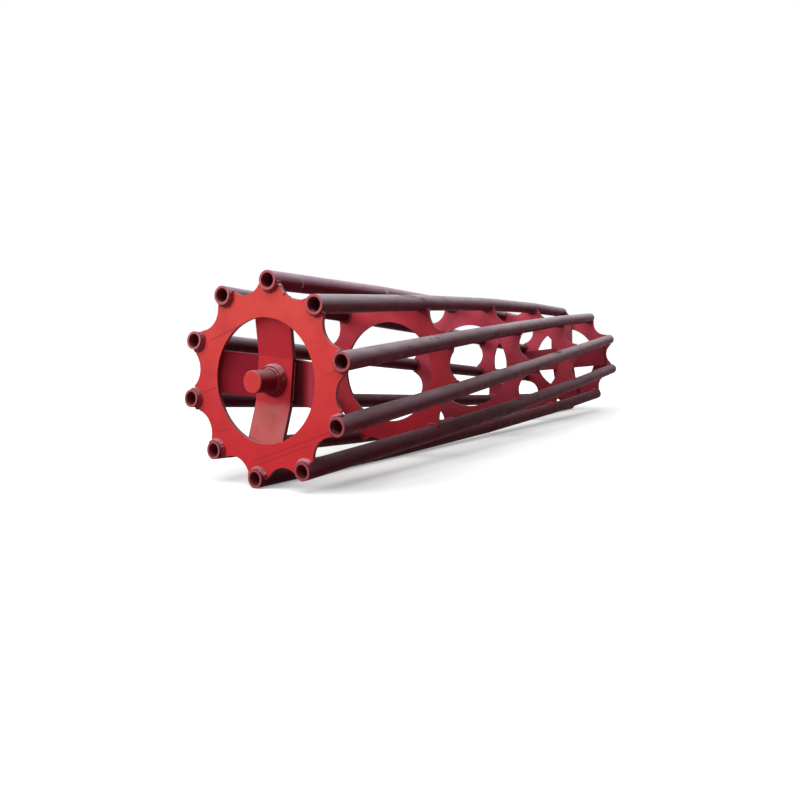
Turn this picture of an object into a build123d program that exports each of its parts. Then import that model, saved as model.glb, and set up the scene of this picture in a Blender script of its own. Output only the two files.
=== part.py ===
from build123d import *
import math
import os

# Packer roller: ten twisted pipes are seated in the toothed rims of five ring plates. At each
# end a cross of two dished flat bars carries a stub shaft with a collar. Sizes are millimetres.
# The roller lies along Y, rests towards -Z, and the origin is the middle of its axis.

# Driving dimensions
pitch_radius = 250.0
pipe_count = 10
pipe_diameter = 48.3
pipe_wall = 6.0
pipe_length = 2456.0
twist_degrees = 48.24
ring_shifts = (0.0, -14.0, -9.0, 13.0, 0.0)  # how far each ring plate stands off even spacing
plate_thickness = 10.0
pipe_overhang = 12.0
rim_drop = 7.5
ring_band = 62.0
tooth_neck = 56.0
scallop_reach = 29.5
bar_width = 112.0
bar_thickness = 12.0
bar_bend_radius = 16.0
bar_foot_gap = 27.0
bar_foot_length = 26.0
inner_bar_lift = 3.5
dish_depth = 29.0
journal_diameter = 57.0
journal_reach = 32.0
shaft_diameter = 60.0
shaft_stickout = 4.0
collar_wall = 7.0
collar_length = 18.0
edge_chamfer = 2.0

# Named clearances
seat_clearance = 0.2
bore_clearance = 0.15
bar_clearance = 1.0

# Places that follow from them
pitch_angle = 360 / pipe_count
pipe_radius = pipe_diameter / 2
half_length = pipe_length / 2
ring_count = len(ring_shifts)
ring_reach = half_length - pipe_overhang - plate_thickness / 2
ring_spacing = 2 * ring_reach / (ring_count - 1)
ring_stations = [ring_spacing * ring - ring_reach + shift for ring, shift in enumerate(ring_shifts)]
rim_radius = pitch_radius - rim_drop
scallop_circle = pitch_radius + scallop_reach
scallop_radius = scallop_circle * math.sin(math.radians(pitch_angle / 2)) - tooth_neck / 2
hole_radius = scallop_circle - scallop_radius - ring_band
plate_back = pipe_overhang + plate_thickness
dish_face = plate_back + dish_depth
bar_flat_end = bar_width / 2 + bar_bend_radius / 4 + bar_clearance
bar_foot_start = hole_radius + bar_foot_gap
bar_foot_end = bar_foot_start + bar_foot_length
bars_back = dish_face + 2 * bar_thickness


def pattern_angle(station):
    """Turn of the pipe pattern, in degrees, at a place along the axis."""
    return twist_degrees * station / pipe_length


def pipe_point(pipe, ring):
    """Centre of a pipe in the middle plane of a ring plate."""
    station = ring_stations[ring]
    angle = math.radians(pitch_angle * pipe + pattern_angle(station))
    return Vector(pitch_radius * math.cos(angle), station, pitch_radius * math.sin(angle))


def end_point(pipe, end_ring, next_ring):
    """Open end of a pipe, in line with its last span between two plates."""
    last = pipe_point(pipe, end_ring)
    span = last - pipe_point(pipe, next_ring)
    overhang = half_length - abs(last.Y)
    return last + span * (overhang / abs(span.Y))


os.makedirs("parts", exist_ok=True)

# Pipes: straight spans from plate to plate, mitred at the inner plates
for pipe in range(pipe_count):
    route = [end_point(pipe, 0, 1)]
    route += [pipe_point(pipe, ring) for ring in range(1, ring_count - 1)]
    route += [end_point(pipe, ring_count - 1, ring_count - 2)]
    with BuildPart() as pipe_part:
        with BuildLine() as path:
            Polyline(*route)
        with BuildSketch(Plane(origin=route[0], z_dir=route[1] - route[0])):
            Circle(pipe_radius)
            Circle(pipe_radius - pipe_wall, mode=Mode.SUBTRACT)
        sweep(transition=Transition.RIGHT)
    pipe_name = f"pipe_{pipe + 1:02d}"
    pipe_part.part.label = pipe_name
    export_step(pipe_part.part, f"parts/{pipe_name}.step")

# Ring plates: a disc with a scallop between each two pipes and a seat under each pipe
for ring, station in enumerate(ring_stations):
    turn = pattern_angle(station)
    with BuildPart() as ring_plate:
        with BuildSketch(Plane.XZ.offset(-station)):
            Circle(rim_radius)
            Circle(hole_radius, mode=Mode.SUBTRACT)
            with PolarLocations(scallop_circle, pipe_count, start_angle=turn + pitch_angle / 2):
                Circle(scallop_radius, mode=Mode.SUBTRACT)
        extrude(amount=plate_thickness / 2, both=True)
        for pipe in range(pipe_count):
            along = pipe_point(pipe, min(ring + 1, ring_count - 1)) - pipe_point(pipe, max(ring - 1, 0))
            with BuildSketch(Plane(origin=pipe_point(pipe, ring), z_dir=along)):
                Circle(pipe_radius + seat_clearance)
            extrude(amount=plate_thickness, both=True, mode=Mode.SUBTRACT)
    ring_name = f"ring_plate_{ring + 1}"
    ring_plate.part.label = ring_name
    export_step(ring_plate.part, f"parts/{ring_name}.step")

# Ends: the outer bar points at a pipe, the inner bar crosses behind it, and the bars' feet lie
# on the back of the end plate. The far end is the near end turned half round about Z.
near_bar_angle = 3 * pitch_angle + pattern_angle(ring_stations[0])

for end_name, end_side in (("near", -1), ("far", 1)):
    inward = Vector(0, -end_side, 0)
    end_origin = Vector(0, end_side * half_length, 0)
    end_plane = Plane(origin=end_origin, x_dir=(1, 0, 0), z_dir=inward)

    inner_face = dish_face + bar_thickness
    for bar_name, quarter_turn, lift, face in (("outer", 0, 0, dish_face), ("inner", 90, inner_bar_lift, inner_face)):
        turn = near_bar_angle - quarter_turn
        if end_side > 0:
            turn = 180 - turn
        along = Vector(math.cos(math.radians(turn)), 0, math.sin(math.radians(turn)))
        flat_depth = face + bar_thickness / 2
        foot_depth = plate_back + bar_thickness / 2
        half_line = [(bar_flat_end, flat_depth), (bar_foot_start, foot_depth), (bar_foot_end, foot_depth)]
        other_half = [(-reach, depth) for reach, depth in reversed(half_line)]
        across = along.cross(inward)
        with BuildPart() as bar:
            with BuildSketch(Plane(origin=end_origin + across * lift, x_dir=along, z_dir=across)):
                with BuildLine():
                    FilletPolyline(*other_half, *half_line, radius=bar_bend_radius)
                trace(line_width=bar_thickness)
            extrude(amount=bar_width / 2, both=True)
            with BuildSketch(end_plane):
                Circle(shaft_diameter / 2 + bore_clearance)
            extrude(amount=bars_back, mode=Mode.SUBTRACT)
        full_name = f"{end_name}_{bar_name}_bar"
        bar.part.label = full_name
        export_step(bar.part, f"parts/{full_name}.step")

    collar_face = dish_face - collar_length
    with BuildPart() as shaft:
        with BuildSketch(end_plane.offset(-journal_reach)):
            Circle(journal_diameter / 2)
        extrude(amount=journal_reach + collar_face)
        chamfer(shaft.edges().sort_by(Axis.Y)[0 if end_side < 0 else -1], edge_chamfer)
        with BuildSketch(end_plane.offset(collar_face)):
            Circle(shaft_diameter / 2)
        extrude(amount=bars_back + shaft_stickout - collar_face)
    shaft_name = f"{end_name}_stub_shaft"
    shaft.part.label = shaft_name
    export_step(shaft.part, f"parts/{shaft_name}.step")

    with BuildPart() as collar:
        with BuildSketch(end_plane.offset(collar_face)):
            Circle(shaft_diameter / 2 + collar_wall)
            Circle(shaft_diameter / 2 + bore_clearance, mode=Mode.SUBTRACT)
        extrude(amount=collar_length)
    collar_name = f"{end_name}_collar"
    collar.part.label = collar_name
    export_step(collar.part, f"parts/{collar_name}.step")
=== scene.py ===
# %% [markdown]
# # A packer roller: welded pipes under weathered red paint
# The real roller is ten pipes welded into five flame-cut plates, with a cross of bent flat bar and
# a stub shaft at each end. The imported model brings those solids. This lesson adds what a solid
# can't show: the weld beads, and paint that is painted lighter on top for the sky's light, dusty
# where it looks at the sky, with a painted sky reflection on the pipes, and pale at its edges,
# partly rubbed and partly a painted highlight. Some parts further in are painted darker as shade.

# %% Load the imported roller
import bisect
import math

import bmesh
import bpy
from mathutils import Matrix, Vector


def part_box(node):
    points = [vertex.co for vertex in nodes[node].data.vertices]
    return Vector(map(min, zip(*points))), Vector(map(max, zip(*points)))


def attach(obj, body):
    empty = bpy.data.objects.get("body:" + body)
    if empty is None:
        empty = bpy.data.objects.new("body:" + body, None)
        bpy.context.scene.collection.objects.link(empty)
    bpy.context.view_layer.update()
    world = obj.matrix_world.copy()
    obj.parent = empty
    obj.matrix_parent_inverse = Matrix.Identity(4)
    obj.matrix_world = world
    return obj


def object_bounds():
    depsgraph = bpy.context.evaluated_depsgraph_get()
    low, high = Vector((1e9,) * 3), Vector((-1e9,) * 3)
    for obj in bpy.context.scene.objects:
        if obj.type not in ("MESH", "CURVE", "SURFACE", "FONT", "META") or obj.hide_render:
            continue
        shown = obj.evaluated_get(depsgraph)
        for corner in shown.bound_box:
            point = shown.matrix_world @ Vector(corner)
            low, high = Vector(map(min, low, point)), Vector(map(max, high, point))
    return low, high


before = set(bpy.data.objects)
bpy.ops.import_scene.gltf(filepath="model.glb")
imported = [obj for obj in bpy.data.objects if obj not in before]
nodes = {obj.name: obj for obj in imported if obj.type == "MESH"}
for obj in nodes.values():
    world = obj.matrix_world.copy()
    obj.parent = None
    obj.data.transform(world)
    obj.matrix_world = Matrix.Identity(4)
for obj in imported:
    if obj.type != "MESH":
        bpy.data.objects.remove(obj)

cad_box = [list(corner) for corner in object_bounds()]
print(f"{len(nodes)} solid pieces between {cad_box[0]} and {cad_box[1]}")

# %% [markdown]
# ## Sizes that the added pieces stand on
# The weld beads sit where a pipe, a plate and a bar meet, so the script needs the same sizes as the
# solids, in metres. What a box can tell is measured from the solids, and the few sizes that no box
# shows are written once, here.

# %% Sizes of the roller, in metres
PIPE_COUNT = 10
PITCH_ANGLE = math.tau / PIPE_COUNT
PITCH_RADIUS = 0.250
PIPE_RADIUS = 0.02415
TWIST_PER_METRE = math.radians(48.24) / 2.456
HALF_LENGTH = 1.228
DISH_FACE = 0.051
BAR_THICKNESS = 0.012
BAR_WIDTH = 0.112
FOOT_START = 0.1861
FOOT_END = 0.2121
RIM_RADIUS = 0.2425
SCALLOP_CIRCLE = 0.2795
SCALLOP_RADIUS = 0.05837
INNER_BAR_LIFT = 0.0035
SHAFT_RADIUS = 0.030
PLATE_BACK = 0.022
END_PLATE_REACH = 1.211
TOP_PIPE = 3  # counted from 0; the outer bar of the near end points at it
NEAR_BAR_ANGLE = TOP_PIPE * PITCH_ANGLE - END_PLATE_REACH * TWIST_PER_METRE

plate_names = [f"ring_plate_{number}" for number in range(1, 6)]
plate_boxes = [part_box(name) for name in plate_names]
PLATE_STATIONS = [(low.y + high.y) / 2 for low, high in plate_boxes]
PLATE_HALF = (plate_boxes[0][1].y - plate_boxes[0][0].y) / 2
print("plates at", [round(station, 4) for station in PLATE_STATIONS])
print("half a plate's thickness is", round(PLATE_HALF, 4))

# %% [markdown]
# ## Camera
# A photograph fixes where the camera stood and how wide its lens was. The numbers below were found
# from the pipes' ends, so the render has the picture's own perspective and nothing needs to be
# shifted afterwards.

# %% Camera
CAMERA_PLACE = (1.20561, -2.58956, 0.09902)
CAMERA_TURN = (85.2908, 0.2233, 30.522)
SENSOR_WIDTH = 36
LENS_LENGTH = 32.339

bpy.ops.object.camera_add(
    location=CAMERA_PLACE, rotation=[math.radians(angle) for angle in CAMERA_TURN]
)
camera = bpy.context.object
camera.name = "camera"
camera.data.sensor_width = SENSOR_WIDTH
camera.data.lens = LENS_LENGTH
bpy.context.scene.camera = camera
print("camera at", [round(x, 2) for x in camera.location], "with a lens of", LENS_LENGTH, "mm")

# %% [markdown]
# ## Node helpers
# A material is a tree of nodes joined by links. Written out in full, each node takes four or five
# lines. This helper makes a node, sets its options, and either fills or links each input, so a
# material reads as a list of steps.

# %% Node helpers
def add_node(tree, kind, inputs=None, **options):
    """Adds a node. inputs maps an input's name or number to a value or to another node's output."""
    node = tree.nodes.new("ShaderNode" + kind if not kind.startswith("NodeGroup") else kind)
    for option, value in options.items():
        setattr(node, option, value)
    for socket, source in (inputs or {}).items():
        if isinstance(source, bpy.types.NodeSocket):
            tree.links.new(source, node.inputs[socket])
        else:
            node.inputs[socket].default_value = source
    return node


def mix_colors(tree, share, first, second):
    """The colour between two colours; share is how much of the second one shows."""
    inputs = {0: share, 6: first, 7: second}
    return add_node(tree, "Mix", inputs, data_type="RGBA").outputs[2]


def ramp(tree, value, low, high, to_low=0.0, to_high=1.0):
    """Turns a stretch of a value into 0 to 1, or into the two numbers given, with soft ends."""
    inputs = {0: value, 1: low, 2: high, 3: to_low, 4: to_high}
    return add_node(tree, "MapRange", inputs, interpolation_type="SMOOTHSTEP").outputs[0]


def calculate(tree, operation, first, second=0.0, third=0.0):
    """One sum on up to three numbers."""
    inputs = {0: first, 1: second, 2: third}
    return add_node(tree, "Math", inputs, operation=operation).outputs[0]


def calculate_vector(tree, operation, first, second=(0, 0, 0)):
    """One sum on two vectors. A dot product and a length give a number, the others a vector."""
    outputs = add_node(tree, "VectorMath", {0: first, 1: second}, operation=operation).outputs
    return outputs["Value" if operation in ("DOT_PRODUCT", "LENGTH") else "Vector"]


def part_of(tree, vector, axis):
    """The X, Y or Z of a vector."""
    return add_node(tree, "SeparateXYZ", {0: vector}).outputs[axis]


def own_place(tree):
    """The place on the object, in its own coordinates."""
    return add_node(tree, "TexCoord").outputs["Object"]


def speckle(tree, place, scale, detail=4.0, roughness=0.55):
    """Noise of a given size, about 0.5 on average, at a place on the object."""
    inputs = {"Vector": place, "Scale": scale, "Detail": detail, "Roughness": roughness}
    return add_node(tree, "TexNoise", inputs).outputs[0]


def new_group(name, inputs, outputs):
    """A node group with named inputs and outputs; returns the group and the inside of both."""
    group = bpy.data.node_groups.new(name, "ShaderNodeTree")
    for title, (kind, default) in inputs.items():
        socket = group.interface.new_socket(title, in_out="INPUT", socket_type="NodeSocket" + kind)
        socket.default_value = default
    for title, kind in outputs.items():
        group.interface.new_socket(title, in_out="OUTPUT", socket_type="NodeSocket" + kind)
    given = add_node(group, "NodeGroupInput").outputs
    result = add_node(group, "NodeGroupOutput").inputs
    return group, given, result


print("node helpers ready")

# %% [markdown]
# ## Studio: floor, sky and lamps
# The roller stands on a plain white floor under a soft light from above and the left, as on an
# overcast day. The floor looks white to the camera and in reflections, and keeps the shadow. To
# every other ray it is a grey floor, because a white one would light the undersides of the pipes,
# which are dark outdoors.

# %% Floor and sky
def seen_directly(tree):
    """1 for rays of the camera, of reflections and of glass; 0 for the rays that light things."""
    path = add_node(tree, "LightPath").outputs
    seen = calculate(tree, "MAXIMUM", path["Is Camera Ray"], path["Is Glossy Ray"])
    return calculate(tree, "MAXIMUM", seen, path["Is Transmission Ray"])


def new_tree(owner):
    """The owner's node tree, emptied."""
    owner.use_nodes = True
    owner.node_tree.nodes.clear()
    return owner.node_tree


floor_paint = bpy.data.materials.new("floor_white")
tree = new_tree(floor_paint)
lit = add_node(tree, "BsdfDiffuse", {"Color": (0.82, 0.82, 0.82, 1)}).outputs[0]
glow = add_node(tree, "Emission", {"Color": (1, 1, 1, 1), "Strength": 0.30}).outputs[0]
looks_white = add_node(tree, "AddShader", {0: lit, 1: glow}).outputs[0]
lights_grey = add_node(tree, "BsdfDiffuse", {"Color": (0.30, 0.29, 0.29, 1)}).outputs[0]
ways = {0: seen_directly(tree), 1: lights_grey, 2: looks_white}
both = add_node(tree, "MixShader", ways).outputs[0]
add_node(tree, "OutputMaterial", {"Surface": both})

bpy.ops.object.select_all(action="DESELECT")
bpy.ops.mesh.primitive_plane_add(size=60, location=(0, 0, cad_box[0][2] - 0.0005))
floor = bpy.context.object
floor.name = "floor"
floor.data.materials.append(floor_paint)

sky = bpy.data.worlds.new("sky")
bpy.context.scene.world = sky
tree = new_tree(sky)
dim = add_node(tree, "Background", {"Color": (0.96, 0.98, 1, 1), "Strength": 0.30}).outputs[0]
white = add_node(tree, "Background", {"Color": (1, 1, 1, 1), "Strength": 1.0}).outputs[0]
both = add_node(tree, "MixShader", {0: seen_directly(tree), 1: dim, 2: white}).outputs[0]
add_node(tree, "OutputWorld", {"Surface": both})
print("floor at", round(floor.location.z, 4))

# %% Lamps
def daylight(name, towards, strength, spread):
    """Even light from far away. towards points at the light, spread is its width in degrees."""
    aim = Vector(towards).to_track_quat("Z", "Y").to_euler()
    bpy.ops.object.light_add(type="SUN", location=Vector(towards) * 4, rotation=aim)
    lamp = bpy.context.object
    lamp.name = name
    lamp.data.energy = strength
    lamp.data.angle = math.radians(spread)
    return lamp


daylight("light_from_above", (0.05, -0.32, 0.94), 2.3, 60)
daylight("light_from_front", (-0.60, -0.66, 0.45), 1.5, 32)

bpy.context.scene.view_settings.view_transform = "Standard"

# %% [markdown]
# ## Effects that several paints share
# Where a surface looks at the sky, dust settles whatever the paint under it; on the pipes and hubs
# the same pale colour is also a painted sky reflection. Every edge is paled in the same way, partly
# rubbed and partly a painted highlight where it looks up. Each such effect is a node group with
# named inputs, built once and placed in each paint with its own values. They read the object's own
# coordinates, so that a pattern stays on the steel when the view turns.

# %% Settled dust, which on the pipes and hubs is also a painted sky reflection
dust_and_sheen_group, given, result = new_group(
    "dust_and_sheen",
    {
        "Starts At": ("Float", 0.0),
        "Full At": ("Float", 1.0),
        "Patch Scale": ("Float", 20.0),
        "Patchiness": ("Float", 0.4),
        "Share Low Down": ("Float", 1.0),
    },
    {"Dust And Sheen": "Float"},
)
DRAWN_OUT = (1, 0.22, 1)  # patches are longer along the roller
# Less dust and painted sheen low down on the roller: on the pipes this paints the lower ones
# darker, partly less dust and partly painted shade.
DUST_AND_SHEEN_LOW, DUST_AND_SHEEN_HIGH = -0.26, 0.30

place = own_place(dust_and_sheen_group)
upward = part_of(dust_and_sheen_group, add_node(dust_and_sheen_group, "NewGeometry").outputs["Normal"], "Z")
# Upward faces: dust, and on the glossy pipes a painted reflection of the sky.
looks_at_sky = ramp(dust_and_sheen_group, upward, given["Starts At"], given["Full At"])
drawn_out = calculate_vector(dust_and_sheen_group, "MULTIPLY", place, DRAWN_OUT)
patches = ramp(dust_and_sheen_group, speckle(dust_and_sheen_group, drawn_out, given["Patch Scale"], 6), 0.35, 0.65)
gaps = calculate(dust_and_sheen_group, "SUBTRACT", 1.0, patches)
bare = calculate(dust_and_sheen_group, "MULTIPLY", gaps, given["Patchiness"])
covered = calculate(dust_and_sheen_group, "SUBTRACT", 1.0, bare)
dust_and_sheen_cover = calculate(dust_and_sheen_group, "MULTIPLY", looks_at_sky, covered)
height = part_of(dust_and_sheen_group, place, "Z")
share = ramp(dust_and_sheen_group, height, DUST_AND_SHEEN_LOW, DUST_AND_SHEEN_HIGH, given["Share Low Down"], 1.0)
dust_and_sheen_cover = calculate(dust_and_sheen_group, "MULTIPLY", dust_and_sheen_cover, share)
dust_and_sheen_group.links.new(dust_and_sheen_cover, result["Dust And Sheen"])
print("group", dust_and_sheen_group.name)

# %% Edges rubbed pale, with a painted highlight where they look up
rub_and_highlight_group, given, result = new_group(
    "rubbed_and_highlit_edges",
    {"Width": ("Float", 0.002), "Patch Scale": ("Float", 60.0), "Strength": ("Float", 1.0)},
    {"Rub And Highlight": "Float"},
)
place = own_place(rub_and_highlight_group)
rounded = add_node(rub_and_highlight_group, "Bevel", {"Radius": given["Width"]}, samples=6).outputs[0]
straight = add_node(rub_and_highlight_group, "NewGeometry").outputs["Normal"]
agreement = calculate_vector(rub_and_highlight_group, "DOT_PRODUCT", rounded, straight)
near_edge = ramp(rub_and_highlight_group, agreement, 0.995, 0.90)
# Painted highlight: the pale edge is strongest where it looks up and the light catches it.
painted_highlight_up = ramp(rub_and_highlight_group, part_of(rub_and_highlight_group, rounded, "Z"), -0.20, 0.45, 0.08, 1.0)
patches = ramp(rub_and_highlight_group, speckle(rub_and_highlight_group, place, given["Patch Scale"], 5), 0.40, 0.60)
worn_and_highlit = calculate(rub_and_highlight_group, "MULTIPLY", near_edge, patches)
worn_and_highlit = calculate(rub_and_highlight_group, "MULTIPLY", worn_and_highlit, painted_highlight_up)
rub_and_highlight = calculate(rub_and_highlight_group, "MULTIPLY", worn_and_highlit, given["Strength"])
rub_and_highlight_group.links.new(rub_and_highlight, result["Rub And Highlight"])
print("group", rub_and_highlight_group.name)

# %% Paint painted lighter towards the top for the sky's light, and lying unevenly
paint_group, given, result = new_group(
    "weathered_skylit_paint",
    {
        "Color": ("Color", (0.5, 0.02, 0.03, 1)),
        "Skylit Color": ("Color", (0.6, 0.05, 0.05, 1)),
        "Deep Color": ("Color", (0.3, 0.01, 0.02, 1)),
        "Patch Scale": ("Float", 9.0),
        "Streaks": ("Vector", (1.0, 1.0, 1.0)),
        "Deep Share": ("Float", 0.4),
    },
    {"Color": "Color", "Roughness": "Float", "Height": "Float"},
)
# Painted light: the paint turns to its lighter top colour with height, standing for the sky's light
# on the upper parts.
SKYLIT_LOW, SKYLIT_HIGH = -0.24, 0.26
SKYLIT_WANDER = 0.25

place = own_place(paint_group)
height = part_of(paint_group, place, "Z")
uneven = speckle(paint_group, place, 5.0, 3)
skylit_line = calculate(paint_group, "MULTIPLY_ADD", uneven, SKYLIT_WANDER, -SKYLIT_WANDER / 2)
# Painted skylight: how far the lighter top colour shows.
skylit_share = ramp(paint_group, calculate(paint_group, "ADD", height, skylit_line), SKYLIT_LOW, SKYLIT_HIGH)
skylit = mix_colors(paint_group, skylit_share, given["Color"], given["Skylit Color"])
stretched = calculate_vector(paint_group, "MULTIPLY", place, given["Streaks"])
blotches = ramp(paint_group, speckle(paint_group, stretched, given["Patch Scale"], 6), 0.42, 0.72)
deep = calculate(paint_group, "MULTIPLY", blotches, given["Deep Share"])
blotched = mix_colors(paint_group, deep, skylit, given["Deep Color"])
grain = speckle(paint_group, place, 320.0, 3)
tone = ramp(paint_group, grain, 0.30, 0.70, 0.90, 1.10)
scaling = {0: blotched, "Scale": tone}
toned = add_node(paint_group, "VectorMath", scaling, operation="SCALE").outputs[0]
rough = ramp(paint_group, speckle(paint_group, place, 30.0), 0.3, 0.7, 0.46, 0.62)
relief = calculate(paint_group, "ADD", grain, speckle(paint_group, stretched, 70.0))
for source, title in ((toned, "Color"), (rough, "Roughness"), (relief, "Height")):
    paint_group.links.new(source, result[title])
print("group", paint_group.name)

# %% [markdown]
# ## Paints
# Every paint is built the same way: uneven paint painted lighter towards the top for the sky's
# light, then dust where it looks up, which on the pipes and hubs is also a painted sky reflection,
# then pale edges, partly rubbed and partly a painted highlight, and a little bump so that the light
# breaks on it. One function places the three groups, and each finish gives its own colours.

# %% One paint from the three effects
def placed(tree, group, values):
    """One of the shared effects in a material, with its values; returns its outputs."""
    node = add_node(tree, "Group", node_tree=group)
    for title, value in values.items():
        node.inputs[title].default_value = value
    return node.outputs


def painted(name, color, skylit, deep, dust_and_sheen, rubbed_and_highlit, patch_scale=9.0, streaks=(1, 1, 1),
            deep_share=0.4, dust_and_sheen_from=0.1, dust_and_sheen_full=1.0, dust_and_sheen_share=0.8, dust_and_sheen_low=1.0,
            dust_and_sheen_scale=20.0, patchiness=0.4, rub_and_highlight_width=0.002, rub_and_highlight_share=0.6, bump=0.0004,
            shine=0.2, marks=None):
    """A weathered paint, painted lighter on top for the sky's light, with dust that is partly a
    painted sheen and pale edges that are partly a painted highlight. marks may add its own colours:
    it gets the tree and the colour so far.
    """
    paint = bpy.data.materials.new(name)
    tree = new_tree(paint)
    coat = placed(tree, paint_group, {
        "Color": (*color, 1), "Skylit Color": (*skylit, 1), "Deep Color": (*deep, 1),
        "Patch Scale": patch_scale, "Streaks": streaks, "Deep Share": deep_share,
    })
    dust_and_sheen_outputs = placed(tree, dust_and_sheen_group, {
        "Starts At": dust_and_sheen_from, "Full At": dust_and_sheen_full, "Share Low Down": dust_and_sheen_low,
        "Patch Scale": dust_and_sheen_scale, "Patchiness": patchiness,
    })
    rub_and_highlight_outputs = placed(tree, rub_and_highlight_group, {"Width": rub_and_highlight_width, "Strength": rub_and_highlight_share})
    # Dust, which on the pipes and hubs also stands for a painted sky reflection.
    dust_and_sheen_amount = calculate(tree, "MULTIPLY", dust_and_sheen_outputs["Dust And Sheen"], dust_and_sheen_share)
    look = mix_colors(tree, dust_and_sheen_amount, coat["Color"], (*dust_and_sheen, 1))
    if marks:
        look = marks(tree, look)
    look = mix_colors(tree, rub_and_highlight_outputs["Rub And Highlight"], look, (*rubbed_and_highlit, 1))
    rough = calculate(tree, "MULTIPLY_ADD", dust_and_sheen_amount, 0.25, coat["Roughness"])
    bumps = {"Height": coat["Height"], "Distance": bump, "Strength": 0.5}
    inputs = {
        "Base Color": look, "Roughness": rough, "Specular IOR Level": shine,
        "Normal": add_node(tree, "Bump", bumps).outputs[0],
    }
    shader = add_node(tree, "BsdfPrincipled", inputs).outputs[0]
    add_node(tree, "OutputMaterial", {"Surface": shader})
    return paint


print("paint function ready")

# %% Marks at known places
def within(tree, place, centre, size):
    """A mask that is 1 at a place and fades out at the given distances from it."""
    away = calculate_vector(tree, "SUBTRACT", place, centre)
    shares = calculate_vector(tree, "MULTIPLY", away, [1 / reach for reach in size])
    return ramp(tree, calculate_vector(tree, "LENGTH", shares), 1.0, 0.6)


SCRATCH_FADE = 0.012


def scratch(tree, place, start, end, width=0.0034):
    """A mask along a straight scratch on a plate's face, between two places given as x and z."""
    first = Vector((start[0], 0, start[1]))
    run = Vector((end[0] - start[0], 0, end[1] - start[1]))
    away = calculate_vector(tree, "SUBTRACT", place, first)
    along = calculate_vector(tree, "DOT_PRODUCT", away, run.normalized())
    across = run.normalized().cross(Vector((0, 1, 0)))
    aside = calculate_vector(tree, "DOT_PRODUCT", away, across)
    line = ramp(tree, calculate(tree, "ABSOLUTE", aside), width, width * 0.3)
    begun = ramp(tree, along, 0.0, SCRATCH_FADE)
    ended = ramp(tree, along, run.length, run.length - SCRATCH_FADE)
    return calculate(tree, "MULTIPLY", line, calculate(tree, "MULTIPLY", begun, ended))


PLATE_SCRATCHES = [
    ((-0.187, 0.099), (-0.074, 0.139)), ((-0.210, -0.038), (-0.155, -0.018)),
    ((-0.170, -0.140), (-0.109, -0.126)), ((-0.050, -0.210), (0.218, -0.111)),
    ((-0.030, -0.216), (0.150, -0.150)), ((0.191, 0.018), (0.249, 0.040)),
]


def scratched(tree, look):
    """Dark scratches over a colour."""
    place = own_place(tree)
    for start, end in PLATE_SCRATCHES:
        share = calculate(tree, "MULTIPLY", scratch(tree, place, start, end), 0.42)
        look = mix_colors(tree, share, look, (0.26, 0.010, 0.018, 1))
    return look


PIPE_SCUFFS = [
    ((0.038, -1.103, 0.246), (0.003, 0.003, 0.020)),
    ((-0.001, -0.622, 0.256), (0.014, 0.012, 0.012)),
    ((0.010, -0.730, 0.266), (0.008, 0.090, 0.004)),
    ((0.030, -0.990, 0.268), (0.008, 0.060, 0.003)),
]
PIPE_NICKS = [
    ((0.260, -0.928, 0.082), (0.008, 0.020, 0.006)),
    ((0.250, -0.799, 0.104), (0.008, 0.018, 0.006)),
    ((0.249, -0.756, 0.107), (0.008, 0.018, 0.006)),
    ((0.259, -0.980, 0.062), (0.008, 0.016, 0.004)),
]
PIPE_DARK_SPOTS = [
    ((0.148, -0.750, 0.231), (0.014, 0.070, 0.009)),
    ((0.155, -0.660, 0.226), (0.010, 0.030, 0.008)),
    ((0.252, 0.300, 0.050), (0.020, 0.085, 0.009)),
    ((0.252, 0.310, 0.050), (0.018, 0.060, 0.007)),
]
PIPE_DARK_PATCHES = [
    ((0.192, -0.28, -0.158), (0.060, 0.46, 0.050)),
    ((0.192, -0.28, -0.162), (0.060, 0.36, 0.040)),
    ((0.249, -0.38, -0.030), (0.045, 0.46, 0.050)),
    ((0.226, -0.45, 0.110), (0.045, 0.46, 0.040)),
]


def spotted(spots, share, spot_color):
    """Marks that put one colour on known places."""
    def marks(tree, look):
        place = own_place(tree)
        for centre, size in spots:
            here = calculate(tree, "MULTIPLY", within(tree, place, centre, size), share)
            look = mix_colors(tree, here, look, (*spot_color, 1))
        return look
    return marks


def nicked_and_darkened(tree, look):
    """Nicks, dark spots, and darker patches on the low pipes just before the middle."""
    look = spotted(PIPE_NICKS, 0.40, (0.10, 0.04, 0.035))(tree, look)
    look = spotted(PIPE_DARK_SPOTS, 0.45, (0.045, 0.030, 0.032))(tree, look)
    return spotted(PIPE_DARK_PATCHES, 0.26, (0.035, 0.010, 0.012))(tree, look)


def chalked(tree, look):
    """Chalky paint on the lower slope of the outer bar, which looks up, with a soft start."""
    place = own_place(tree)
    height = part_of(tree, place, "Z")
    wander = calculate(tree, "SUBTRACT", speckle(tree, place, 25.0), 0.5)
    wander = calculate(tree, "MULTIPLY", wander, 0.02)
    chalk = ramp(tree, calculate(tree, "ADD", height, wander), -0.048, -0.076)
    cloudy = ramp(tree, speckle(tree, place, 22.0), 0.35, 0.65, 0.36, 0.58)
    return mix_colors(tree, calculate(tree, "MULTIPLY", chalk, cloudy), look, (0.42, 0.17, 0.15, 1))


def shaded_and_chalked(tree, look):
    """A painted shadow on the inner bar beside the outer one, and chalky paint beyond it."""
    place = own_place(tree)
    aside = part_of(tree, place, "X")
    look = mix_colors(tree, ramp(tree, aside, 0.098, 0.125, 0.0, 0.18), look, (0.50, 0.14, 0.16, 1))
    # Painted shadow of the outer bar on the inner bar's right arm: dark beside it, fading out away
    # from it.
    begun = ramp(tree, aside, 0.045, 0.050)
    painted_shadow = calculate(tree, "MULTIPLY", begun, ramp(tree, aside, 0.082, 0.124, 0.94, 0.0))
    return mix_colors(tree, painted_shadow, look, (0.020, 0.001, 0.002, 1))


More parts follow.
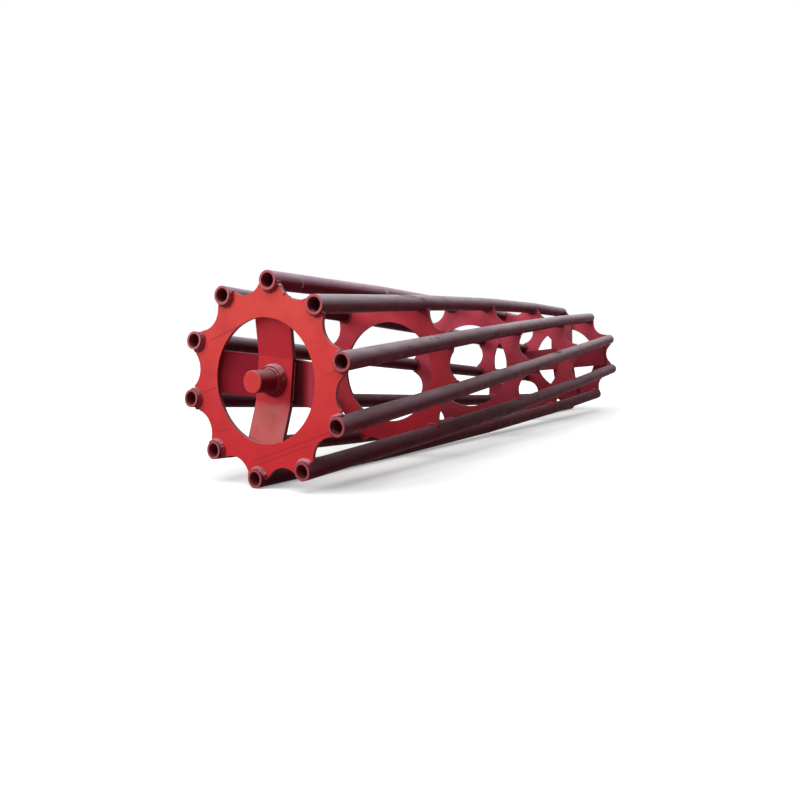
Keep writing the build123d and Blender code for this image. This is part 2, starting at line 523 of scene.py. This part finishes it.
print(len(PLATE_SCRATCHES), "scratches,", len(PIPE_SCUFFS), "scuffs and", len(PIPE_NICKS), "nicks")
print(len(PIPE_DARK_SPOTS), "dark spots and", len(PIPE_DARK_PATCHES), "darker patches")

# %% Finishes of the plates and bars
plate_red = painted(
    "plate_red", (0.60, 0.018, 0.026), (0.76, 0.062, 0.050), (0.44, 0.012, 0.022),
    (0.55, 0.22, 0.22), (0.58, 0.26, 0.26), rub_and_highlight_width=0.0022, marks=scratched,
)
# Darker copies of the near plate's paint for the plates further in: painted shade, for the light
# that the pipes and plates in front keep off.
plate_red_in_shade = painted(
    "plate_red_in_shade", (0.37, 0.008, 0.017), (0.66, 0.046, 0.070), (0.25, 0.008, 0.016),
    (0.40, 0.16, 0.18), (0.50, 0.24, 0.27), rub_and_highlight_width=0.0022,
)
plate_red_in_deep_shade = painted(
    "plate_red_in_deep_shade", (0.215, 0.009, 0.020), (0.71, 0.076, 0.122), (0.17, 0.009, 0.018),
    (0.42, 0.18, 0.20), (0.50, 0.26, 0.29), rub_and_highlight_width=0.0022,
)
# The walls of the plates and the edges of the bars are painted much darker than the faces: painted
# shade. The inner plates' walls take a still darker copy.
cut_edge = painted(
    "cut_edge", (0.12, 0.006, 0.010), (0.16, 0.012, 0.018), (0.07, 0.004, 0.007),
    (0.48, 0.27, 0.30), (0.55, 0.30, 0.32), patch_scale=60, streaks=(1, 0.08, 1), dust_and_sheen_from=0.20,
    dust_and_sheen_full=0.85, dust_and_sheen_share=0.7, rub_and_highlight_share=0.4, bump=0.0015,
)
cut_edge_in_shade = painted(
    "cut_edge_in_shade", (0.070, 0.007, 0.010), (0.090, 0.009, 0.013), (0.040, 0.004, 0.006),
    (0.34, 0.19, 0.21), (0.34, 0.16, 0.18), patch_scale=60, streaks=(1, 0.08, 1), dust_and_sheen_from=0.30,
    dust_and_sheen_full=0.95, dust_and_sheen_share=0.6, rub_and_highlight_share=0.2, bump=0.0015,
)
bar_red = painted(
    "bar_red", (0.60, 0.024, 0.038), (0.60, 0.019, 0.034), (0.42, 0.014, 0.027), (0.42, 0.17, 0.15),
    (0.55, 0.25, 0.25), dust_and_sheen_from=0.30, dust_and_sheen_full=0.90, dust_and_sheen_share=0.6, marks=chalked,
)
# Darker copies of the outer bar's paint for the bar behind it and the bars at the far end: painted
# shade.
bar_red_in_shade = painted(
    "bar_red_in_shade", (0.34, 0.018, 0.034), (0.38, 0.020, 0.038), (0.21, 0.012, 0.024),
    (0.42, 0.19, 0.20), (0.60, 0.32, 0.36), dust_and_sheen_from=0.10, dust_and_sheen_full=0.60, dust_and_sheen_share=0.75,
    shine=0.04, marks=shaded_and_chalked,
)
bar_red_in_deep_shade = painted(
    "bar_red_in_deep_shade", (0.22, 0.011, 0.024), (0.25, 0.015, 0.032), (0.14, 0.009, 0.018),
    (0.36, 0.18, 0.20), (0.50, 0.27, 0.31), dust_and_sheen_from=0.10, dust_and_sheen_full=0.60, dust_and_sheen_share=0.75,
)

# %% Finishes of the pipes and hubs
# On the pipes the pale grey-mauve colour on the upper sides is mostly a painted reflection of the
# sky, with some dust, so their own shine is kept low. Low on the roller it thins out, which paints
# the lower pipes in shade.
pipe_maroon = painted(
    "pipe_maroon", (0.082, 0.007, 0.014), (0.100, 0.009, 0.019), (0.050, 0.005, 0.009),
    (0.55, 0.485, 0.525), (0.50, 0.32, 0.36), patch_scale=40, streaks=(1, 0.15, 1), dust_and_sheen_from=-0.24,
    dust_and_sheen_full=0.96, dust_and_sheen_share=0.97, dust_and_sheen_low=0.11, dust_and_sheen_scale=60, patchiness=0.22, rub_and_highlight_share=0.5,
    shine=0.03, marks=nicked_and_darkened,
)
# The two upper pipes get lighter copies of this paint: painted light, for the greater share of sky
# that falls on them.
pipe_maroon_more_lit = painted(
    "pipe_maroon_more_lit", (0.120, 0.018, 0.028), (0.138, 0.025, 0.038), (0.070, 0.010, 0.016),
    (0.55, 0.485, 0.525), (0.50, 0.32, 0.36), patch_scale=40, streaks=(1, 0.15, 1), dust_and_sheen_from=-0.34,
    dust_and_sheen_full=0.96, dust_and_sheen_share=0.97, dust_and_sheen_scale=60, patchiness=0.22, rub_and_highlight_share=0.5, shine=0.03,
    marks=nicked_and_darkened,
)
pipe_maroon_most_lit = painted(
    "pipe_maroon_most_lit", (0.15, 0.008, 0.018), (0.16, 0.009, 0.021), (0.10, 0.007, 0.014),
    (0.62, 0.47, 0.56), (0.50, 0.30, 0.34), patch_scale=40, streaks=(1, 0.15, 1), dust_and_sheen_from=-0.32,
    dust_and_sheen_full=0.92, dust_and_sheen_share=1.0, dust_and_sheen_scale=60, patchiness=0.22, rub_and_highlight_share=0.5, shine=0.03,
    marks=spotted(PIPE_SCUFFS, 0.75, (0.66, 0.42, 0.50)),
)
# The pale dust on the hubs also stands for painted highlights on their upper sides.
hub_maroon = painted(
    "hub_maroon", (0.16, 0.006, 0.011), (0.18, 0.007, 0.013), (0.09, 0.005, 0.008),
    (0.46, 0.25, 0.26), (0.40, 0.20, 0.21), patch_scale=50, dust_and_sheen_from=0.05, dust_and_sheen_full=0.95,
    dust_and_sheen_share=0.9, patchiness=0.35, rub_and_highlight_share=0.5, shine=0.05,
)
rim_bare = painted(
    "rim_bare", (0.38, 0.055, 0.072), (0.56, 0.12, 0.13), (0.24, 0.032, 0.045), (0.46, 0.22, 0.24),
    (0.62, 0.30, 0.32), patch_scale=60, dust_and_sheen_share=0.4, rub_and_highlight_width=0.0012,
)
bore_dark = painted(
    "bore_dark", (0.19, 0.028, 0.036), (0.22, 0.032, 0.042), (0.10, 0.014, 0.020),
    (0.22, 0.09, 0.09), (0.14, 0.04, 0.04), patch_scale=60, dust_and_sheen_share=0.3,
)
weld_bead = painted(
    "weld_bead", (0.19, 0.009, 0.018), (0.22, 0.014, 0.024), (0.10, 0.005, 0.010),
    (0.58, 0.25, 0.29), (0.50, 0.20, 0.23), patch_scale=90, dust_and_sheen_from=0.12, dust_and_sheen_full=0.90,
    dust_and_sheen_share=0.85, rub_and_highlight_share=0.2, bump=0.001,
)
# A darker copy of the bead paint for the welds of the plates further in: painted shade.
weld_bead_in_shade = painted(
    "weld_bead_in_shade", (0.20, 0.011, 0.020), (0.28, 0.022, 0.033), (0.11, 0.007, 0.012),
    (0.42, 0.21, 0.24), (0.40, 0.18, 0.20), patch_scale=90, dust_and_sheen_from=0.20, dust_and_sheen_full=0.95,
    dust_and_sheen_share=0.4, rub_and_highlight_share=0.1, bump=0.001,
)
# A pale paint for the weld over the near plate's shoulder, partly a painted highlight where the
# light catches its lumps.
weld_pale_and_highlit = painted(
    "weld_pale_and_highlit", (0.36, 0.06, 0.08), (0.42, 0.10, 0.12), (0.18, 0.02, 0.03), (0.62, 0.38, 0.42),
    (0.60, 0.30, 0.34), patch_scale=140, dust_and_sheen_from=-0.20, dust_and_sheen_full=0.70, dust_and_sheen_share=0.85,
    rub_and_highlight_share=0.1, bump=0.001,
)
# On the collar welds the pale dust colour also paints the highlights along the upper passes.
weld_hub = painted(
    "weld_hub", (0.20, 0.012, 0.020), (0.22, 0.014, 0.022), (0.11, 0.007, 0.011),
    (0.74, 0.46, 0.48), (0.40, 0.18, 0.20), patch_scale=60, dust_and_sheen_from=0.12, dust_and_sheen_full=0.93,
    dust_and_sheen_share=0.88, rub_and_highlight_share=0.1, bump=0.001, shine=0.05,
)
print(len(bpy.data.materials), "materials")

# %% [markdown]
# ## Dressing the solids
# One solid can carry several finishes: a pipe is dusty outside, with a painted sky reflection on
# its upper side, dark in its bore and scraped bare on its cut ends. Each face is given to a finish
# by where it is and which way it looks, so the solid itself stays as it came.

# %% Finishes on the solids
def dress(node, finishes, choose=None):
    """Gives a solid its finishes. choose(middle, normal) names the finish of one face."""
    node.data.materials.clear()
    names = list(finishes)
    for finish in finishes.values():
        node.data.materials.append(finish)
    for face in node.data.polygons:
        face.material_index = names.index(choose(face.center, face.normal)) if choose else 0


def on_circle(radius, station, angle):
    """A point at a distance from the roller's axis, at a place along it and an angle round it."""
    return Vector((radius * math.cos(angle), station, radius * math.sin(angle)))


def pipe_angle(pipe, station):
    """Angle round the roller at which a pipe lies, at a place along it."""
    return PITCH_ANGLE * pipe + TWIST_PER_METRE * station


def pipe_axis(pipe, station):
    """A point on a pipe's axis. The pipe runs straight from plate to plate."""
    span = min(max(bisect.bisect(PLATE_STATIONS, station), 1), len(PLATE_STATIONS) - 1)
    first, second = [
        on_circle(PITCH_RADIUS, y, pipe_angle(pipe, y)) for y in PLATE_STATIONS[span - 1:span + 1]
    ]
    return first.lerp(second, (station - first.y) / (second.y - first.y))


AT_THE_CUT = 0.003


def pipe_finish(pipe):
    """The rule that names the finish of each face of one pipe."""
    def choose(middle, normal):
        if abs(middle.y) > HALF_LENGTH - AT_THE_CUT and abs(normal.y) > 0.9:
            return "rim"
        outward = middle - pipe_axis(pipe, middle.y)
        return "coat" if outward.dot(normal) > 0 else "bore"
    return choose


for pipe in range(PIPE_COUNT):
    # The two upper pipes take the lighter copies: painted light.
    coat = {TOP_PIPE: pipe_maroon_most_lit, TOP_PIPE - 1: pipe_maroon_more_lit}.get(pipe, pipe_maroon)
    finishes = {"coat": coat, "rim": rim_bare, "bore": bore_dark}
    dress(nodes[f"pipe_{pipe + 1:02d}"], finishes, pipe_finish(pipe))

# The plates further in take the darker copies: painted shade.
plate_paints = [plate_red, plate_red_in_shade, plate_red_in_deep_shade, plate_red_in_deep_shade, plate_red_in_deep_shade]
# The inner plates' walls take the darker copy: painted shade.
wall_paints = [cut_edge] + [cut_edge_in_shade] * 4
for name, face_paint, wall_paint in zip(plate_names, plate_paints, wall_paints):
    finishes = {"face": face_paint, "wall": wall_paint}
    dress(nodes[name], finishes, lambda _, n: "face" if abs(n.y) > 0.9 else "wall")

# The inner bar and the far bars take the darker copies: painted shade.
bar_paints = {"near_outer": bar_red, "near_inner": bar_red_in_shade}
for end in ("near", "far"):
    for bar in ("outer", "inner"):
        face_paint = bar_paints.get(f"{end}_{bar}", bar_red_in_deep_shade)
        across = Vector((0, 0, 1)) if bar == "inner" else Vector((1, 0, 0))
        dress(
            nodes[f"{end}_{bar}_bar"], {"face": face_paint, "edge": cut_edge},
            lambda _, n: "edge" if abs(n.dot(across)) > 0.9 else "face",
        )
    dress(nodes[f"{end}_collar"], {"coat": hub_maroon})
    finishes = {"coat": hub_maroon, "face": plate_red, "chamfer": rim_bare}
    dress(
        nodes[f"{end}_stub_shaft"], finishes,
        lambda _, n: "face" if abs(n.y) > 0.9 else "chamfer" if abs(n.y) > 0.3 else "coat",
    )
print("dressed", len(nodes), "solids")

# %% [markdown]
# ## Weld beads in the pipe seats
# Each pipe is welded into its plate on both faces, so a hundred lumpy beads follow the round seats.
# The outer faces of the end plates have a second pass over the first. A bead could be sculpted, but
# by hand a small profile spun about the pipe gives the right run at once. Every second step is
# swollen for the ripples, a subdivision rounds it, and the beads of a plate get their lumps
# together, so no two are alike.

# %% Tools for modelling by hand
def only(*pieces):
    """Selects these pieces alone, the last one active."""
    bpy.ops.object.select_all(action="DESELECT")
    for piece in pieces:
        piece.select_set(True)
        bpy.context.view_layer.objects.active = piece


def pick(piece, test):
    """In edit mode, selects the vertices whose place passes the test."""
    mesh = bmesh.from_edit_mesh(piece.data)
    for vertex in mesh.verts:
        vertex.select = bool(test(vertex.co))
    mesh.select_flush_mode()
    bmesh.update_edit_mesh(piece.data)


def in_place(piece):
    """Puts the object's place, turn and scale into its mesh."""
    only(piece)
    bpy.ops.object.transform_apply(location=True, rotation=True, scale=True)


RIPPLE_SWELL = 1.16
RIPPLE_CHANGE = 0.10
DOUBLES_WITHIN = 0.00005


def spun_bead(name, profile_radius, centre, start, steps, angle):
    """A bead spun about a line along Y through centre. start leads from there to its profile."""
    only()
    bearing = Matrix.Rotation(math.atan2(start.x, start.z), 4, "Y")
    turn = bearing @ Matrix.Rotation(math.pi / 2, 4, "Y")
    bpy.ops.mesh.primitive_circle_add(
        vertices=6, radius=profile_radius, location=centre + start, rotation=turn.to_euler()
    )
    bead = bpy.context.object
    bead.name = name
    in_place(bead)
    bpy.ops.object.mode_set(mode="EDIT")
    bpy.ops.mesh.select_all(action="SELECT")
    # spin counts its turns the other way
    bpy.ops.mesh.spin(steps=steps, angle=-angle, center=centre, axis=(0, 1, 0))
    bpy.ops.mesh.select_all(action="SELECT")
    bpy.ops.mesh.remove_doubles(threshold=DOUBLES_WITHIN)
    near = start.length * angle / steps * 0.4
    for step in range(1, steps, 2):
        spoke = Matrix.Rotation(angle * step / steps, 3, "Y") @ start
        middle = centre + spoke
        side = spoke.cross(Vector((0, 1, 0))).normalized()

        def in_ripple(place):
            away = place - middle
            return abs(away.dot(side)) < near and away.length < 2 * profile_radius

        pick(bead, in_ripple)
        swell = RIPPLE_SWELL + RIPPLE_CHANGE * math.sin(2.3 * step)
        bpy.ops.transform.resize(value=(swell,) * 3, center_override=middle)
    return bead


def finish_bead(bead):
    """Closes the ends, turns every face outwards and rounds a bead that is still in edit mode."""
    bpy.ops.mesh.select_mode(type="VERT")
    bpy.ops.mesh.select_all(action="DESELECT")
    bpy.ops.mesh.select_non_manifold(extend=False)
    if any(vertex.select for vertex in bmesh.from_edit_mesh(bead.data).verts):
        bpy.ops.mesh.edge_face_add()
    bpy.ops.mesh.select_all(action="SELECT")
    bpy.ops.mesh.normals_make_consistent(inside=False)
    bpy.ops.object.mode_set(mode="OBJECT")
    rounding = bead.modifiers.new("rounding", "SUBSURF")
    rounding.levels = rounding.render_levels = 1
    bpy.ops.object.modifier_apply(modifier=rounding.name)
    bpy.ops.object.shade_smooth()


print("modelling tools ready")

# %% The first seat bead, and the pass that covers it
SEAT_BEAD = 0.0075
COVER_BEAD = 0.0056
SEAT_ARC = math.radians(166)
SEAT_STEPS = 18
SEAT_REACH = PIPE_RADIUS + 0.0010
COVER_REACH = PIPE_RADIUS - 0.0005

seat_centre = Vector((0, 0, PITCH_RADIUS))
seat_start = Matrix.Rotation(-SEAT_ARC / 2, 3, "Y") @ Vector((0, 0, -SEAT_REACH))
seat_bead = spun_bead("seat_bead", SEAT_BEAD, seat_centre, seat_start, SEAT_STEPS, SEAT_ARC)
finish_bead(seat_bead)
cover_start = seat_start * (COVER_REACH / SEAT_REACH)
cover_bead = spun_bead("cover_bead", COVER_BEAD, seat_centre, cover_start, SEAT_STEPS, SEAT_ARC)
finish_bead(cover_bead)
for bead in (seat_bead, cover_bead):
    print(bead.name, len(bead.data.polygons), "faces,", [round(x, 4) for x in bead.dimensions])

# %% Copies, joins and lumps
def copy_of(piece, move):
    """A copy with its own mesh, put in place by a matrix that goes into the mesh."""
    twin = piece.copy()
    twin.data = piece.data.copy()
    twin.data.transform(move)
    bpy.context.scene.collection.objects.link(twin)
    return twin


def joined(name, pieces):
    """Joins pieces into one of that name."""
    only(*pieces)
    bpy.ops.object.join()
    whole = bpy.context.object
    whole.name = whole.data.name = name
    return whole


weld_lumps = bpy.data.textures.new("weld_lumps", "CLOUDS")
weld_lumps.noise_scale = 0.011
weld_lumps.noise_depth = 2


def lumpy(piece, depth):
    """Pushes the surface in and out by up to half the depth, differently at each place."""
    only(piece)
    lumps = piece.modifiers.new("lumps", "DISPLACE")
    lumps.texture = weld_lumps
    lumps.texture_coords = "LOCAL"
    lumps.strength = depth
    bpy.ops.object.modifier_apply(modifier=lumps.name)


def finish_weld(piece, depth, paint):
    """Lumps, paint and body of a finished weld."""
    lumpy(piece, depth)
    piece.data.materials.clear()
    piece.data.materials.append(paint)
    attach(piece, "root")
    print(piece.name, "has", len(piece.data.polygons), "faces")


# %% The seat beads of every plate
def round_the_pipe(pattern, pipe, station, turn):
    """A copy of a bead in a pipe's seat, turned a little about the pipe."""
    to_centre = Matrix.Translation(seat_centre)
    around_pipe = to_centre @ Matrix.Rotation(turn, 4, "Y") @ Matrix.Translation(-seat_centre)
    around_axis = Matrix.Rotation(math.pi / 2 - pipe_angle(pipe, station), 4, "Y")
    return copy_of(pattern, Matrix.Translation((0, station, 0)) @ around_axis @ around_pipe)


BEAD_PLACE = PLATE_HALF - 0.0015
COVER_PLACE = PLATE_HALF + 0.0042
NEAR_THE_END = 0.015
SEAT_TURN = 0.16  # how far a bead may be turned about its pipe, in radians
SEAT_LUMPS = 0.0045

for number, station in enumerate(PLATE_STATIONS, 1):
    beads = []
    for side in (-1, 1):
        outside = abs(station + side * PLATE_HALF) > HALF_LENGTH - NEAR_THE_END
        for pipe in range(PIPE_COUNT):
            turn = SEAT_TURN * math.sin(7.1 * pipe + 3.3 * number + side)
            place = station + side * BEAD_PLACE
            beads.append(round_the_pipe(seat_bead, pipe, place, turn))
            if outside:
                place = station + side * COVER_PLACE
                beads.append(round_the_pipe(cover_bead, pipe, place, -turn))
    # The welds of the plates further in take the darker copy: painted shade.
    paint = weld_bead if number == 1 else weld_bead_in_shade
    finish_weld(joined(f"seat_welds_{number}", beads), SEAT_LUMPS, paint)
for pattern in (seat_bead, cover_bead):
    bpy.data.objects.remove(pattern)

# %% [markdown]
# ## Welds at the hubs
# Welds run all round the collar and the shaft, so the same profile is spun a full turn. The collar
# is built up in five passes that get smaller away from the bar. The feet of the bars are welded to
# the back of the plate on three sides, and the crossing bars to each other at their edges. Those
# welds are straight with sharp corners, which is easier to lay as a curve with a round bevel. The
# far end is the near end turned half round about the vertical, so each weld is made once and
# copied.

# %% Welds round the collars and shafts
to_far_end = Matrix.Rotation(math.pi, 4, "Z")
back_of_bars = DISH_FACE + 2 * BAR_THICKNESS
COLLAR_PASSES = [  # distance from the axis, place from the outer bar's face, radius of the bead
    (0.0380, -0.0010, 0.0060),
    (0.0362, -0.0055, 0.0060),
    (0.0345, -0.0100, 0.0060),
    (0.0328, -0.0142, 0.0052),
    (0.0298, -0.0182, 0.0044),
]
SHAFT_BEAD = 0.0036
COLLAR_LUMPS = 0.0040
SMALL_LUMPS = 0.0020
FULL_TURN_STEPS = 34


def round_weld(name, radius, depth_from_end, bead_radius):
    """A fillet round the roller's axis at the near end."""
    centre = Vector((0, -HALF_LENGTH + depth_from_end, 0))
    start = Vector((0, 0, radius))
    bead = spun_bead(name, bead_radius, centre, start, FULL_TURN_STEPS, math.tau)
    finish_bead(bead)
    return bead


def both_ends(pieces, name, depth, paint):
    """Joins pieces made at the near end, copies them to the far end, and finishes both."""
    near_weld = joined(f"near_{name}", pieces)
    far_weld = copy_of(near_weld, to_far_end)
    far_weld.name = far_weld.data.name = f"far_{name}"
    finish_weld(near_weld, depth, paint)
    finish_weld(far_weld, depth, paint)


passes = [
    round_weld("collar_pass", radius, DISH_FACE + depth, bead_radius)
    for radius, depth, bead_radius in COLLAR_PASSES
]
both_ends(passes, "collar_weld", COLLAR_LUMPS, weld_hub)
shaft_pass = round_weld("shaft_pass", SHAFT_RADIUS + 0.0010, back_of_bars + 0.0005, SHAFT_BEAD)
both_ends([shaft_pass], "shaft_weld", SMALL_LUMPS, weld_hub)
print("welds round the collars and shafts at both ends")

# %% Straight welds of the bars
def laid_bead(name, corners, radius, step=0.004):
    """A bead laid along a line of corners, made from a curve with a round bevel."""
    places = [Vector(corners[0])]
    for first, second in zip(corners, corners[1:]):
        run = Vector(second) - Vector(first)
        count = max(1, round(run.length / step))
        places += [Vector(first) + run * (part / count) for part in range(1, count + 1)]
    curve = bpy.data.curves.new(name, "CURVE")
    curve.dimensions = "3D"
    curve.bevel_depth = radius
    curve.bevel_resolution = 1
    curve.use_fill_caps = True
    line = curve.splines.new("POLY")
    line.points.add(len(places) - 1)
    for point, place in zip(line.points, places):
        point.co = (*place, 1)
    bead = bpy.data.objects.new(name, curve)
    bpy.context.scene.collection.objects.link(bead)
    only(bead)
    bpy.ops.object.convert(target="MESH")
    bpy.ops.object.shade_smooth()
    return bead


HALF_BAR = BAR_WIDTH / 2
HALF_CROSSING = 0.05
FOOT_BEAD = 0.0045
CROSSING_BEAD = 0.003

plate_back = -HALF_LENGTH + PLATE_BACK + 0.001
foot_corners = [
    (-HALF_BAR, plate_back, FOOT_START), (-HALF_BAR, plate_back, FOOT_END),
    (HALF_BAR, plate_back, FOOT_END), (HALF_BAR, plate_back, FOOT_START),
]
foot_bead = laid_bead("foot_bead", foot_corners, FOOT_BEAD)
bar_meeting = -HALF_LENGTH + DISH_FACE + BAR_THICKNESS
front, back = bar_meeting - 0.001, bar_meeting + 0.001
front_run = [(HALF_BAR, front, -HALF_CROSSING), (HALF_BAR, front, HALF_CROSSING)]
back_run = [(-HALF_CROSSING, back, HALF_BAR), (HALF_CROSSING, back, HALF_BAR)]
front_bead = laid_bead("front_bead", front_run, CROSSING_BEAD)
back_bead = laid_bead("back_bead", back_run, CROSSING_BEAD)


def round_the_axis(angle):
    """Turns what was made pointing up to another angle round the roller."""
    return Matrix.Rotation(math.pi / 2 - angle, 4, "Y")


inner_lift = Matrix.Translation(round_the_axis(NEAR_BAR_ANGLE) @ Vector((0, 0, INNER_BAR_LIFT)))
near_feet = []
for quarter in range(4):
    lift = inner_lift if quarter % 2 else Matrix.Identity(4)
    angle = NEAR_BAR_ANGLE + quarter * math.pi / 2
    near_feet.append(copy_of(foot_bead, lift @ round_the_axis(angle)))
near_crossing = []
for bead, lift in ((front_bead, inner_lift), (back_bead, Matrix.Identity(4))):
    for half in (0, 1):
        angle = NEAR_BAR_ANGLE + half * math.pi
        near_crossing.append(copy_of(bead, lift @ round_the_axis(angle)))
both_ends(near_feet, "foot_welds", SMALL_LUMPS, weld_bead)
both_ends(near_crossing, "cross_welds", SMALL_LUMPS, bore_dark)
for pattern in (foot_bead, front_bead, back_bead):
    bpy.data.objects.remove(pattern)

# %% A weld that ran on over a shoulder of the near plate
SHOULDER_BEAD = 0.0042
SHOULDER_LUMPS = 0.0060
OUT_OF_SCALLOP = 1.03

near_face = PLATE_STATIONS[0] - PLATE_HALF
aim = pipe_angle(TOP_PIPE, near_face)
scallop = aim - PITCH_ANGLE / 2
squares = RIM_RADIUS ** 2 + SCALLOP_CIRCLE ** 2 - SCALLOP_RADIUS ** 2
corner_angle = scallop + math.acos(squares / (2 * RIM_RADIUS * SCALLOP_CIRCLE))
seat_edge = aim - math.asin(PIPE_RADIUS / RIM_RADIUS)
centre = on_circle(SCALLOP_CIRCLE, near_face, scallop)
seat = on_circle(RIM_RADIUS, near_face, seat_edge)
corner = on_circle(RIM_RADIUS, near_face, corner_angle)
run = [seat, corner]
for turn in (6, 12, 18, 24):
    spoke = Matrix.Rotation(math.radians(-turn), 3, "Y") @ (corner - centre)
    run.append(centre + OUT_OF_SCALLOP * spoke)
shoulder_weld = laid_bead("shoulder_weld", run, SHOULDER_BEAD)
finish_weld(shoulder_weld, SHOULDER_LUMPS, weld_pale_and_highlit)
